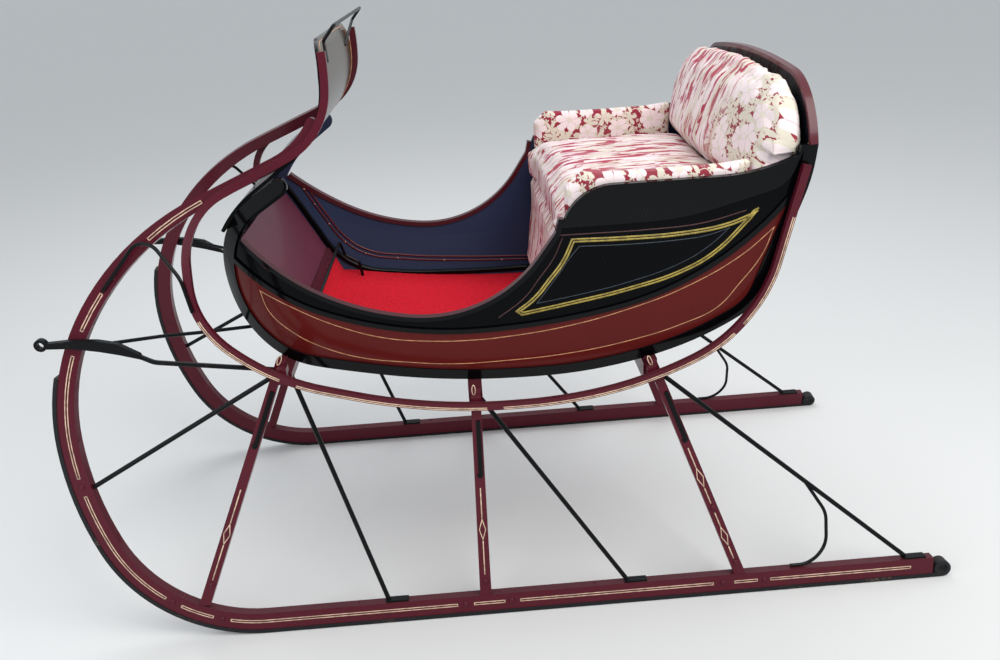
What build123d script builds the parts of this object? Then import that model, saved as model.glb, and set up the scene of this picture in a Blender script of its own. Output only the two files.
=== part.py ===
"""A one-seat horse-drawn cutter sleigh with a swelled body, built from its separate pieces.

X points forward, Y to the driver's left and Z up, in millimetres. The runners stand on Z = 0.
Side-view shapes are drawn from the foot of the middle posts and moved by MIDDLE_X when they are
written, so that the finished sleigh has its origin under the middle of its length.
"""

import os
from math import cos, radians, sin, tan

from build123d import *

MIDDLE_X = -78.3

# Driving dimensions of the runners
RUNNER_LEAN = 7.1
RUNNER_TRACK = 970
RUNNER_THICK = 26
RUNNER_DEEP = 46
SHOE_THICK = 10
SHOE_WIDE = 30
RUNNER_REAR = -1150
SCROLL_RUN = 25
SCROLL_RADIUS = 17
SCROLL_TURN = -300

# Driving dimensions of the body
WALL = 12
FLOOR_THICK = 14
BORDER_WIDE = 30
BORDER_PROUD = 5
BEAD_WIDE = 12
RIM_DEEP = 12
ROD = 12
THIN_ROD = 9
ROD_SIDES = 10

# Tangent runs and bends in side view: straight run, bend radius, turn in degrees
# The runner thins from its bend to its tip, so its sole and its inner edge have their own bends
SOLE_START = (RUNNER_REAR, SHOE_THICK)
SOLE_BENDS = (
    (1753, 407, 45),
    (0, 383, 25),
    (0, 833, 20),
    (0, 577, 33),
    (0, 700, 34.6),
    (199, 183, -40),
)
INNER_EDGE_START = (RUNNER_REAR, SHOE_THICK + RUNNER_DEEP)
INNER_EDGE_BENDS = (
    (1753, 362, 45),
    (0, 342, 25),
    (0, 810, 20),
    (0, 531, 33),
    (0, 687, 34.6),
    (153, 244, -40),
)
RUNNER_TIP_RADIUS = 8
SHOE_BENDS = ((1753, 407, 45), (0, 383, 25), (0, 833, 20), (0, 577, 18))

# The body's outer skin, from the rear corner down, forward under the floor and up the front
BODY_START = (-766, 1170)
BODY_HEADING = -86
BACK_BENDS = ((30, 402, 13), (238, 125, 38))
BELLY_BENDS = ((0, 700, 15), (0, 930, 20), (0, 2300, 10), (170, 0, 0))
FRONT_BENDS = ((0, 225, 80), (0, 265, 56))
HORN_BENDS = ((96, 0, 0),)
BODY_BENDS = BACK_BENDS + BELLY_BENDS + FRONT_BENDS + HORN_BENDS
HORN_TIP_RADIUS = 24

# The dash, which laps the front panel and sweeps back and up between the raves
DASH_LAP_BENDS = ((0, 225, 80), (0, 265, 32))
DASH_BENDS = ((0, 265, 24), (114, 205, -56), (20, 200, -20))
DASH_THICK = 8
DASH_LOW = 1000
DASH_TOP = 1440
DASH_GAP = 2
DASH_CORNER = 110

# Plan sections of the swelled body: height, half width at the seat, X where the sides turn in
BODY_SECTIONS = (
    (540, 322, -66),
    (660, 376, -52),
    (800, 410, -44),
    (1000, 440, -34),
    (1240, 462, -24),
)
PLAN_REAR = -845
PLAN_BENDS = ((0, 2400, -10), (0, 400, -32), (0, 170, -48))

# The rim of the entrance, from its front corner back to the arm, then the arm's own outline
RIM_START = (539, 1007)
RIM_HEADING = 227
ENTRANCE_BENDS = ((0, 700, -14), (0, 600, -26), (0, 334, -62), (62, 40, -22))
RIM_END_RUN = 30
ARM_BENDS = ((12, 118, 77), (240, 400, -28))
HORN_WIDE = 38

# The lower edge of the panel applied to the outside of the arm, from the front back
ARM_LOW_START = (-150, 1019)
ARM_LOW_BENDS = ((240, 640, -15), (120, 70, -55), (90, 0, 0))

# The bead where the dark upper panel meets the red lower panel, from the front back
BEAD_START = (590, 982)
BEAD_HEADING = 222
BEAD_BENDS = (
    (40, 640, -22),
    (0, 1000, -20),
    (0, 1600, -12),
    (0, 665, -40),
    (120, 0, 0),
)

# The rave, a bent rail outside the posts, in side view, and its two halves seen from the front
RAVE_Y = 436
RAVE_THICK = 15
RAVE_DEEP = 18
RAVE_START = (-741, 1129)
RAVE_HEADING = -79
RAVE_BENDS = (
    (232, 327, 54),
    (0, 900, 15),
    (0, 1100, 10),
    (30, 1300, 17),
    (70, 490, 28),
    (0, 225, 45),
    (47, 161, 66),
    (174, 165, -60),
    (0, 478, -10),
)
RAVE_SECTION_BASE = 500
RAVE_FRONT_BENDS = ((355, 400, 20), (97, 300, -12.9), (320, 0, 0))
RAVE_REAR_BENDS = ((245, 600, -5.4), (420, 0, 0))

# Cross sections where posts and beams stand: name, foot X, head X, rail height, top height
STATIONS = (
    ("front", 757, 474, 697, 738),
    ("middle", 34, 19, 587, 626),
    ("rear", -643, -412, 628, 668),
)
POST_FOOT_WIDE = 30
POST_HEAD_WIDE = 24
POST_THICK = 24
BEAM_DEEP = 60
BEAM_DROP = 24
BEAM_WIDE = 34
BLOCK_DEEP = 40
RAIL_ROD = 8
CARPET_REAR = -160

# Straight stays: name, head X and height on the beam, then foot X on the runner
STAY_HEAD_Y = 378
STAYS = (
    ("front", 466, 690, 287),
    ("middle", 12, 582, -338),
    ("rear", -420, 626, -1078),
)
STAY_FOOT_LONG = 46
STAY_FOOT_THICK = 5

# The curl that springs from the rear stay: X, height along the runner's plane, distance outward
CURL_POINTS = ((-812, 290, -12), (-866, 203, -9), (-868, 110, -4), (-826, 61, 0), (-772, 61, 0))
CURL_RADII = (80, 75, 70)

# The draft iron: the eye where shafts are hung, the forging bolted to the runner, and its two rods
EYE_AT = (1020, 405, 817)
EYE_OUTER = 15
EYE_BORE = 8
EYE_LONG = 14
FORGING_OUTLINE = (
    (1008, 821),
    (952, 823),
    (890, 818),
    (846, 807),
    (800, 776),
    (794, 762),
    (846, 779),
    (890, 791),
    (952, 804),
    (1008, 807),
)
DRAFT_POINTS = ((806, 405, 771), (770, 408, 752), (488, 400, 705))
DRAFT_RADIUS = 60
THIN_DRAFT_POINTS = ((868, 398, 805), (764, 345, 792), (686, 300, 776), (556, 238, 758))
THIN_DRAFT_RADII = (180, 180)

# The arched brace from the runner's bend to the rave: two points on the runner, then three in space
ARCH_FOOT = (858, 936)
ARCH_POINTS = ((735, 396, 1066), (660, 434, 962), (645, 446, 884))
ARCH_RADII = (45, 80)

# The rein rail's left half, from its foot on the dash up to the bar
REIN_POINTS = ((302, 190, 1385), (288, 312, 1441), (262, 312, 1471))
REIN_RADII = (10, 10)

# The front brace, and the plate that bolts its end to the runner
FRONT_BRACE_HEAD = (486, 380, 690)
FRONT_BRACE_FOOT = (988, 437)
BRACE_PLATE_START = (981, 372)
BRACE_PLATE_LONG = 76
BRACE_PLATE_HEADING = 82
BRACE_PLATE_THICK = 8

# The seat back's arch seen from the front
ARCH_BASE = 1158
ARCH_HALF = 455
ARCH_HEADING = 100
ARCH_SHOULDER = 176
ARCH_TURN = 74
ARCH_TOP_TURN = 2 * (180 - ARCH_HEADING - ARCH_TURN)
ARCH_SHOULDER_HALF = ARCH_SHOULDER * (sin(radians(ARCH_HEADING)) - sin(radians(ARCH_HEADING + ARCH_TURN)))
ARCH_TOP_RADIUS = (ARCH_HALF - ARCH_SHOULDER_HALF) / sin(radians(ARCH_TOP_TURN / 2))
ARCH_BENDS = (
    (0, ARCH_SHOULDER, ARCH_TURN),
    (0, ARCH_TOP_RADIUS, ARCH_TOP_TURN),
    (0, ARCH_SHOULDER, ARCH_TURN),
)
BACK_X = -763
BACK_THICK = 12
BACK_RIM_DEEP = 18
BACK_RIM_THICK = 10

# The seat and its soft pieces
SEAT_FRONT = -215
SEAT_REAR = -730
SEAT_BOARD_TOP = 925
SEAT_BOARD_THICK = 14
CUSHION_FRONT = -196
CUSHION_REAR = -638
CUSHION_TOP = 1052
CUSHION_HALF = 381
CUSHION_CORNER = 30
FALL_TOP = 923
FALL_X = -204
FALL_BENDS = ((40, 400, 10), (120, 0, 0))
FALL_THICK = 14
BACK_PAD_INSET = 12
BACK_PAD_SIDE = ((-724, 1040), (-747, 1172), (-747, 1330), (-722, 1330), (-640, 1080), (-640, 1040))
ARM_PAD_INNER = 384
ARM_PAD_OUTER = 426
ARM_PAD_BOTTOM = 1008
ARM_PAD_TOP = 1146
ARM_PAD_CORNER = 36
CARPET_THICK = 7
SOFT_GAP = 2

# The toe board in side view, and the carpet's lap up its lower edge
TOE_TOP = (566, 985)
TOE_HEADING = 243
TOE_THICK = 10
CARPET_LAP_TOP = 775

# Foot rail over the toe board's foot: X and height of its leg from the floor up
FOOT_RAIL_HALF = 288
FOOT_ROD = 9
FOOT_LEG = ((346, 690), (352, 735), (392, 760), (404, 802))
FOOT_RADII = (16, 16, 12)


def direction_of(heading):
    """Unit vector of a heading in degrees."""
    return Vector(1, 0).rotate(Axis.Z, heading)


def bent_line(start, heading, bends, shift=0):
    """Draw tangent straight runs and bends, moved sideways by shift, left of travel being plus.

    Each bend gives its straight run, its radius on the centre line and its turn. The two ends come back.
    """
    here = Vector(*start) + direction_of(heading + 90) * shift
    first = here
    for run, radius, turn in bends:
        if run:
            step = Line(here, here + direction_of(heading) * run)
            here = step @ 1
        if turn:
            reach = radius - shift if turn > 0 else radius + shift
            bend = JernArc(here, direction_of(heading), reach, turn)
            here = bend @ 1
            heading += turn
    return first, here


def bent_band(start, heading, bends, near, far):
    """Face between two sideways shifts of one bent line."""
    with BuildSketch() as band:
        with BuildLine():
            near_first, near_last = bent_line(start, heading, bends, near)
            far_first, far_last = bent_line(start, heading, bends, far)
            Line(near_first, far_first)
            Line(near_last, far_last)
        make_face()
    return band.sketch


def bent_region(start, heading, bends, corners=(), shift=0):
    """Face closed by a bent line and straight runs through the given corners."""
    with BuildSketch() as region:
        with BuildLine():
            first, last = bent_line(start, heading, bends, shift)
            Polyline(last, *corners, first)
        make_face()
    return region.sketch


def end_of(start, heading, bends):
    """Point and heading where a bent line ends."""
    here = Vector(*start)
    for run, radius, turn in bends:
        here += direction_of(heading) * run
        if turn:
            side = 1 if turn > 0 else -1
            centre = here + direction_of(heading + 90 * side) * radius
            here = centre + direction_of(heading + turn - 90 * side) * radius
            heading += turn
    return (here.X, here.Y), heading


def rod(points, diameter, radii=()):
    """Iron rod along straight runs joined by bends; radii has one radius for each corner.

    A straight rod is round. A bent one is hammered to ROD_SIDES flats.
    """
    with BuildPart() as bar:
        with BuildLine() as path:
            if radii:
                FilletPolyline(*points, radius=radii)
            else:
                Line(*points)
        with BuildSketch(Plane(origin=path.line @ 0, z_dir=path.line % 0)):
            if radii:
                RegularPolygon(diameter / 2, ROD_SIDES)
            else:
                Circle(diameter / 2)
        sweep()
    return bar.part


def crossing(left_points):
    """Points of a rod that crosses the sleigh: the left half, then its mirror image back."""
    left = tuple(Vector(*point) for point in left_points)
    return left + tuple(Vector(point.X, -point.Y, point.Z) for point in reversed(left))


def rounded_band(start, heading, bends, width, radius):
    """Band from the bent line to width on its left, with the inner corner of its far end rounded."""
    end, end_heading = end_of(start, heading, bends)
    corner = Vector(*end) + direction_of(end_heading + 90) * width
    band = bent_band(start, heading, bends, 0, width)
    return fillet(band.vertices().sort_by_distance(corner)[0], radius)


def write(name, piece):
    """Move one piece to the finished frame, label it and write it."""
    placed = piece.moved(Location((-MIDDLE_X, 0, 0)))
    placed.label = name
    export_step(placed, f"parts/{name}.step")


def write_pair(name, left):
    """Write a piece of the left side and its mirror image of the right side."""
    write(f"{name}_left", left)
    write(f"{name}_right", mirror(left, about=Plane.XZ))


def tub(grow):
    """Solid form of the swelled body, grown sideways and at the front."""
    with BuildPart() as form:
        for height, half, turn_in in BODY_SECTIONS:
            with BuildSketch(Plane.XY.offset(height)):
                with BuildLine():
                    side = Line((PLAN_REAR, half + grow), (turn_in, half + grow))
                    _, nose = bent_line((turn_in, half), 0, PLAN_BENDS, grow)
                    Line(nose, (nose.X, 0))
                    mirror(about=Plane.XZ)
                    Line(side @ 0, (PLAN_REAR, -half - grow))
                make_face()
        loft()
    return form.part


def across(face, reach=520):
    """Solid of a side-view face run through the whole width."""
    with BuildPart() as slab:
        with BuildSketch(Plane.XZ):
            add(face)
        extrude(amount=reach, both=True)
    return slab.part


def left_half(face, start=40, reach=480):
    """Solid of a side-view face on the left of the centre only."""
    with BuildPart() as slab:
        with BuildSketch(Plane.XZ.offset(-start)):
            add(face)
        extrude(amount=-reach)
    return slab.part


def on_runner(along, up, out=0):
    """Point of the leaning runner plane: X, height along the plane, and distance outward."""
    lean = radians(RUNNER_LEAN)
    y = RUNNER_TRACK / 2 - up * sin(lean) + out * cos(lean)
    return Vector(along, y, up * cos(lean) + out * sin(lean))


os.makedirs("parts", exist_ok=True)

# Runners and their steel shoes, bent in a plane that leans inward
runner_plane = Plane(
    origin=(0, RUNNER_TRACK / 2, 0),
    x_dir=(1, 0, 0),
    z_dir=Vector(0, -1, 0).rotate(Axis.X, RUNNER_LEAN),
)

with BuildSketch() as runner_face:
    with BuildLine():
        sole_first, sole_last = bent_line(SOLE_START, 0, SOLE_BENDS)
        edge_first, edge_last = bent_line(INNER_EDGE_START, 0, INNER_EDGE_BENDS)
        Line(sole_first, edge_first)
        Line(sole_last, edge_last)
    make_face()
    for tip in (sole_last, edge_last):
        fillet(runner_face.vertices().sort_by_distance(tip)[0], RUNNER_TIP_RADIUS)

with BuildPart() as runner:
    with BuildSketch(runner_plane):
        add(runner_face.sketch)
    extrude(amount=RUNNER_THICK / 2, both=True)
write_pair("runner", runner.part)

scroll_start = (RUNNER_REAR, SHOE_THICK / 2)
scroll_bends = ((SCROLL_RUN, SCROLL_RADIUS, SCROLL_TURN),)
with BuildPart() as shoe:
    with BuildSketch(runner_plane):
        add(bent_band(SOLE_START, 0, SHOE_BENDS, -SHOE_THICK, 0))
        add(bent_band(scroll_start, 180, scroll_bends, -SHOE_THICK / 2, SHOE_THICK / 2))
    extrude(amount=SHOE_WIDE / 2, both=True)
    split(bisect_by=Plane.XY, keep=Keep.TOP)
write_pair("shoe", shoe.part)

# The tub: its walls are the ring between two swelled forms, trimmed to the side view
outer = tub(0)
inner = tub(-WALL)
wall = outer - inner

body_face = bent_region(BODY_START, BODY_HEADING, BODY_BENDS)
horn_face = rounded_band(BODY_START, BODY_HEADING, BODY_BENDS, HORN_WIDE, HORN_TIP_RADIUS)
rear_end, high_end, low_end, front_end = -900, 1400, 500, 700
above_rim = bent_region(
    RIM_START,
    RIM_HEADING,
    ENTRANCE_BENDS + ARM_BENDS,
    ((rear_end, 1166), (rear_end, high_end), (front_end, high_end), (front_end, RIM_START[1])),
)
below_bead = bent_region(
    BEAD_START,
    BEAD_HEADING,
    BEAD_BENDS,
    ((rear_end, 1200), (rear_end, low_end), (front_end, low_end), (front_end, BEAD_START[1])),
)
side_face = body_face - (above_rim - horn_face)

with BuildPart() as lower_side:
    add(left_half(side_face & below_bead))
    add(wall, mode=Mode.INTERSECT)
write_pair("lower_side", lower_side.part)

# Everything that belongs to the tub ends under this plane, and the arched back stands on it
body_top = Plane.XY.offset(BODY_START[1])

with BuildPart() as upper_side:
    add(left_half(side_face - below_bead))
    add(wall, mode=Mode.INTERSECT)
    split(bisect_by=body_top, keep=Keep.BOTTOM)
write_pair("upper_side", upper_side.part)

# Raised mouldings on the walls: the border along the outline and the bead between the panels
proud_wall = tub(BORDER_PROUD) - outer
border_face = rounded_band(BODY_START, BODY_HEADING, BODY_BENDS, BORDER_WIDE, HORN_TIP_RADIUS)
with BuildPart() as border:
    add(left_half(border_face))
    add(proud_wall, mode=Mode.INTERSECT)
    split(bisect_by=body_top, keep=Keep.BOTTOM)
write_pair("border", border.part)

bead_face = bent_band(BEAD_START, BEAD_HEADING, BEAD_BENDS, -BEAD_WIDE / 2, BEAD_WIDE / 2) & body_face
bead_face = bead_face - bent_band(BODY_START, BODY_HEADING, BODY_BENDS, -1, BORDER_WIDE)
with BuildPart() as bead:
    add(left_half(bead_face))
    add(proud_wall, mode=Mode.INTERSECT)
write_pair("bead", bead.part)

rim_wall = tub(BORDER_PROUD) - tub(-WALL - BORDER_PROUD)
rim_bends = ENTRANCE_BENDS + ((RIM_END_RUN, 0, 0),)
rim_face = bent_band(RIM_START, RIM_HEADING, rim_bends, -RIM_DEEP, 0) - horn_face
with BuildPart() as rim:
    add(left_half(rim_face))
    add(rim_wall, mode=Mode.INTERSECT)
write_pair("rim", rim.part)

# The panel applied to the outside of the arm, up to the arm's edge and back to the border
above_arm_low = bent_region(
    ARM_LOW_START,
    180,
    ARM_LOW_BENDS,
    ((rear_end, high_end), (ARM_LOW_START[0], high_end)),
)
arm_face = (side_face & above_arm_low) - bent_band(BODY_START, BODY_HEADING, BODY_BENDS, -1, BORDER_WIDE)
with BuildPart() as arm_panel:
    add(left_half(arm_face))
    add(proud_wall, mode=Mode.INTERSECT)
write_pair("arm_panel", arm_panel.part)

# Floor, front and back panels bent along the outline between the side walls
belly_start, belly_heading = end_of(BODY_START, BODY_HEADING, BACK_BENDS)
front_start, front_heading = end_of(belly_start, belly_heading, BELLY_BENDS)
panels = (
    ("back_panel", BODY_START, BODY_HEADING, BACK_BENDS),
    ("floor", belly_start, belly_heading, BELLY_BENDS),
    ("front_panel", front_start, front_heading, FRONT_BENDS),
)
for name, start, heading, bends in panels:
    with BuildPart() as panel:
        add(across(bent_band(start, heading, bends, 0, FLOOR_THICK)))
        add(inner, mode=Mode.INTERSECT)
        split(bisect_by=body_top, keep=Keep.BOTTOM)
    write(name, panel.part)

# The dash, cut to the lean of the runners, with rounded top corners
dash_start, dash_heading = end_of(front_start, front_heading, DASH_LAP_BENDS)
dash_low_half, dash_top_half = (
    RUNNER_TRACK / 2 + RUNNER_THICK / 2 - DASH_GAP - height * tan(radians(RUNNER_LEAN))
    for height in (DASH_LOW, DASH_TOP)
)
with BuildPart() as dash:
    add(across(bent_band(dash_start, dash_heading, DASH_BENDS, -DASH_THICK, 0)))
    with BuildSketch(Plane.YZ) as dash_front:
        with BuildLine():
            Polyline(
                (-dash_low_half, DASH_LOW),
                (-dash_top_half, DASH_TOP),
                (dash_top_half, DASH_TOP),
                (dash_low_half, DASH_LOW),
                close=True,
            )
        make_face()
        fillet(dash_front.vertices().group_by(Axis.Y)[-1], DASH_CORNER)
    extrude(amount=700, mode=Mode.INTERSECT)
    add(runner.part, mode=Mode.SUBTRACT)
    add(mirror(runner.part, about=Plane.XZ), mode=Mode.SUBTRACT)
write("dash", dash.part)

# The rave: its two halves seen from the front, met with its side view
rave_face = bent_band(RAVE_START, RAVE_HEADING, RAVE_BENDS, -RAVE_DEEP / 2, RAVE_DEEP / 2)
with BuildPart() as rave:
    for bends, reach in ((RAVE_FRONT_BENDS, 700), (RAVE_REAR_BENDS, -900)):
        with BuildSketch(Plane.YZ):
            add(bent_band((RAVE_Y, RAVE_SECTION_BASE), 90, bends, -RAVE_THICK / 2, RAVE_THICK / 2))
        extrude(amount=reach)
    add(across(rave_face), mode=Mode.INTERSECT)
write_pair("rave", rave.part)

# Posts in the runners' plane, with the block that carries the rail, and the beams under the floor
body_cut = across(body_face)
posts = []
beams = []
for name, foot_x, head_x, rail_z, top_z in STATIONS:
    foot_z = SHOE_THICK + RUNNER_DEEP / 2 + (60 if name == "front" else 0)
    block_inner = RUNNER_TRACK / 2 - rail_z * tan(radians(RUNNER_LEAN))
    block_outer = RAVE_Y - RAVE_THICK / 2
    with BuildPart() as post:
        with BuildSketch(runner_plane):
            with BuildLine():
                Polyline(
                    (foot_x - POST_FOOT_WIDE / 2, foot_z),
                    (head_x - POST_HEAD_WIDE / 2, top_z),
                    (head_x + POST_HEAD_WIDE / 2, top_z),
                    (foot_x + POST_FOOT_WIDE / 2, foot_z),
                    close=True,
                )
            make_face()
        extrude(amount=POST_THICK / 2, both=True)
        with BuildSketch(Plane.XY.offset(rail_z)):
            with Locations((head_x, (block_inner + block_outer) / 2)):
                Rectangle(POST_HEAD_WIDE, block_outer - block_inner)
        extrude(amount=BLOCK_DEEP / 2, both=True)
        add(runner.part, mode=Mode.SUBTRACT)
        add(rave.part, mode=Mode.SUBTRACT)
    write_pair(f"post_{name}", post.part)
    posts.append(post.part)

    with BuildPart() as beam:
        with BuildSketch(Plane.XY.offset(rail_z - BEAM_DROP)):
            with Locations((head_x, 0)):
                Rectangle(BEAM_WIDE, 2 * block_inner)
        extrude(amount=BEAM_DEEP)
        add(body_cut, mode=Mode.SUBTRACT)
        add(post.part, mode=Mode.SUBTRACT)
        add(mirror(post.part, about=Plane.XZ), mode=Mode.SUBTRACT)
    write(f"beam_{name}", beam.part)
    beams.append(beam.part)

# Stays from the beams down to the runners, each with a flat foot on the runner
foot_up = SHOE_THICK + RUNNER_DEEP
for name, head_x, head_z, foot_x in STAYS:
    with BuildPart() as stay:
        add(rod((Vector(head_x, STAY_HEAD_Y, head_z), on_runner(foot_x, foot_up + STAY_FOOT_THICK)), ROD))
        with BuildSketch(runner_plane):
            with Locations((foot_x - STAY_FOOT_LONG / 2, foot_up + STAY_FOOT_THICK / 2)):
                Rectangle(STAY_FOOT_LONG + ROD, STAY_FOOT_THICK)
        extrude(amount=ROD * 0.9, both=True)
        for neighbour in (runner.part, *posts, *beams):
            add(neighbour, mode=Mode.SUBTRACT)
    write_pair(f"stay_{name}", stay.part)
    if name == "rear":
        rear_stay = stay.part

# The curved brace that springs from the rear stay and curls to the runner
curl_points = tuple(on_runner(*point) for point in CURL_POINTS)
with BuildPart() as rear_brace:
    add(rod(curl_points, THIN_ROD, CURL_RADII))
    add(rear_stay, mode=Mode.SUBTRACT)
    add(runner.part, mode=Mode.SUBTRACT)
write_pair("brace_rear", rear_brace.part)

# The front brace from the front beam to the inside of the runner's bend, with its bolted plate
plate_run = ((BRACE_PLATE_LONG, 0, 0),)
with BuildPart() as front_brace:
    add(rod((Vector(*FRONT_BRACE_HEAD), on_runner(*FRONT_BRACE_FOOT)), ROD))
    with BuildSketch(runner_plane):
        add(
            bent_band(
                BRACE_PLATE_START,
                BRACE_PLATE_HEADING,
                plate_run,
                -BRACE_PLATE_THICK / 2,
                BRACE_PLATE_THICK / 2,
            )
        )
    extrude(amount=THIN_ROD, both=True)
    for neighbour in (runner.part, posts[0], beams[0]):
        add(neighbour, mode=Mode.SUBTRACT)
write_pair("brace_front", front_brace.part)

# Draft irons: an eye, a swelled forging bolted outside the runner, then a rod to the front beam's end
eye_x, eye_y, eye_z = EYE_AT
with BuildPart() as draft_iron:
    with BuildSketch(Plane.XZ.offset(-eye_y)):
        with BuildLine():
            Polyline(*FORGING_OUTLINE, close=True)
        make_face()
        with Locations((eye_x, eye_z)):
            Circle(EYE_OUTER)
            Circle(EYE_BORE, mode=Mode.SUBTRACT)
    extrude(amount=EYE_LONG / 2, both=True)
    add(rod(tuple(Vector(*point) for point in DRAFT_POINTS), ROD, (DRAFT_RADIUS,)))
    for neighbour in (runner.part, rave.part, posts[0], beams[0]):
        add(neighbour, mode=Mode.SUBTRACT)
write_pair("draft_iron", draft_iron.part)

# Thin draft rods from the forgings inward to the front panel
with BuildPart() as thin_rod:
    add(rod(tuple(Vector(*point) for point in THIN_DRAFT_POINTS), THIN_ROD, THIN_DRAFT_RADII))
    for neighbour in (draft_iron.part, runner.part, body_cut):
        add(neighbour, mode=Mode.SUBTRACT)
write_pair("draft_rod", thin_rod.part)

# Arched braces from the runner's bend to the rave
arch_foot = on_runner(*ARCH_FOOT, RUNNER_THICK / 2 + THIN_ROD * 0.4)
with BuildPart() as arc_brace:
    add(rod((arch_foot,) + tuple(Vector(*point) for point in ARCH_POINTS), THIN_ROD, ARCH_RADII))
    add(runner.part, mode=Mode.SUBTRACT)
    add(rave.part, mode=Mode.SUBTRACT)
write_pair("arc_brace", arc_brace.part)

# Rein rail above the dash: a bar with bent ends on two feet
with BuildPart() as rein_rail:
    add(rod(crossing(REIN_POINTS), RAIL_ROD, REIN_RADII + tuple(reversed(REIN_RADII))))
    add(dash.part, mode=Mode.SUBTRACT)
write("rein_rail", rein_rail.part)

# Toe board, carpet and foot rail inside the front
toe_face = bent_band(TOE_TOP, TOE_HEADING, ((330, 0, 0),), -TOE_THICK / 2, TOE_THICK / 2)
room_face = bent_region(BODY_START, BODY_HEADING, BODY_BENDS, shift=FLOOR_THICK)
with BuildPart() as toe_board:
    add(across(toe_face & room_face))
    add(inner, mode=Mode.INTERSECT)
write("toe_board", toe_board.part)

with BuildSketch() as carpet_reach:
    with Locations((CARPET_REAR, 400)):
        Rectangle(900, CARPET_LAP_TOP - 400, align=(Align.MIN, Align.MIN))
lap_face = bent_band(TOE_TOP, TOE_HEADING, ((330, 0, 0),), -TOE_THICK / 2 - CARPET_THICK, -TOE_THICK / 2)
floor_cover = bent_band(BODY_START, BODY_HEADING, BODY_BENDS, FLOOR_THICK, FLOOR_THICK + CARPET_THICK)
before_toe = bent_region(TOE_TOP, TOE_HEADING, ((400, 0, 0),), ((-900, 400), (-900, 985)), shift=-TOE_THICK / 2)
carpet_face = ((lap_face & room_face) + floor_cover) & before_toe & carpet_reach.sketch
with BuildPart() as carpet:
    add(across(carpet_face))
    add(tub(-WALL - SOFT_GAP), mode=Mode.INTERSECT)
write("carpet", carpet.part)

foot_leg = tuple((along, FOOT_RAIL_HALF, height) for along, height in FOOT_LEG)
with BuildPart() as foot_rail:
    add(rod(crossing(foot_leg), FOOT_ROD, FOOT_RADII + tuple(reversed(FOOT_RADII))))
    add(carpet.part, mode=Mode.SUBTRACT)
write("foot_rail", foot_rail.part)

# Seat back board above the back panel, and its arched rim
with BuildPart() as back_board:
    with BuildSketch(Plane.YZ.offset(BACK_X)):
        add(bent_region((ARCH_HALF, ARCH_BASE), ARCH_HEADING, ARCH_BENDS))
    extrude(amount=BACK_THICK)
    split(bisect_by=body_top, keep=Keep.TOP)
write("back_board", back_board.part)

with BuildPart() as back_rim:
    with BuildSketch(Plane.YZ.offset(BACK_X + BACK_THICK / 2 - BACK_RIM_DEEP / 2)):
        add(bent_band((ARCH_HALF, ARCH_BASE), ARCH_HEADING, ARCH_BENDS, -BACK_RIM_THICK, 0))
    extrude(amount=BACK_RIM_DEEP)
    split(bisect_by=body_top, keep=Keep.TOP)
write("back_rim", back_rim.part)

# Seat board and riser between the walls
seat_face = Pos(SEAT_REAR, SEAT_BOARD_TOP) * Rectangle(
    SEAT_FRONT - SEAT_REAR, SEAT_BOARD_THICK, align=(Align.MIN, Align.MAX)
)
riser_face = Pos(SEAT_FRONT, 500) * Rectangle(
    SEAT_BOARD_THICK, SEAT_BOARD_TOP - SEAT_BOARD_THICK - 500, align=(Align.MAX, Align.MIN)
)
for name, face in (("seat_board", seat_face), ("seat_riser", riser_face)):
    with BuildPart() as board:
        add(across(face & room_face))
        add(inner, mode=Mode.INTERSECT)
    write(name, board.part)

# Soft pieces: cushion, its fall, the back pad and the arm pads
with BuildPart() as cushion:
    with BuildSketch(Plane.XY.offset(SEAT_BOARD_TOP + SOFT_GAP)):
        with Locations(((CUSHION_FRONT + CUSHION_REAR) / 2, 0)):
            Rectangle(CUSHION_FRONT - CUSHION_REAR, 2 * CUSHION_HALF)
    extrude(amount=CUSHION_TOP - SEAT_BOARD_TOP - SOFT_GAP)
    chamfer(cushion.faces().sort_by(Axis.Z)[-1].edges(), CUSHION_CORNER)
write("cushion", cushion.part)

with BuildPart() as fall:
    add(across(bent_band((FALL_X, FALL_TOP), 270, FALL_BENDS, -FALL_THICK / 2, FALL_THICK / 2)))
    add(tub(-WALL - 20), mode=Mode.INTERSECT)
write("seat_fall", fall.part)

with BuildPart() as back_pad:
    with BuildSketch(Plane.YZ.offset(BACK_X + BACK_THICK + SOFT_GAP)):
        add(bent_region((ARCH_HALF, ARCH_BASE), ARCH_HEADING, ARCH_BENDS, shift=BACK_PAD_INSET))
        with Locations((0, CUSHION_TOP + SOFT_GAP)):
            Rectangle(2 * ARM_PAD_OUTER, ARCH_BASE - CUSHION_TOP, align=(Align.CENTER, Align.MIN))
    extrude(amount=140)
    with BuildSketch(Plane.XZ):
        with BuildLine():
            Polyline(*BACK_PAD_SIDE, close=True)
        make_face()
    extrude(amount=500, both=True, mode=Mode.INTERSECT)
write("back_pad", back_pad.part)

arm_rear = CUSHION_REAR + SOFT_GAP
with BuildPart() as arm_pad:
    with BuildSketch(Plane.XZ.offset(-ARM_PAD_INNER)):
        with Locations((arm_rear, ARM_PAD_BOTTOM)):
            arm_side = Rectangle(
                SEAT_FRONT - arm_rear, ARM_PAD_TOP - ARM_PAD_BOTTOM, align=(Align.MIN, Align.MIN)
            )
        chamfer(arm_side.vertices().group_by(Axis.X)[-1].sort_by(Axis.Y)[-1], ARM_PAD_CORNER)
    extrude(amount=ARM_PAD_INNER - ARM_PAD_OUTER)
write_pair("arm_pad", arm_pad.part)
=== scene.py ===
import math
import random

import bmesh
import bpy
from mathutils import Matrix, Vector, noise
from mathutils.bvhtree import BVHTree


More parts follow.
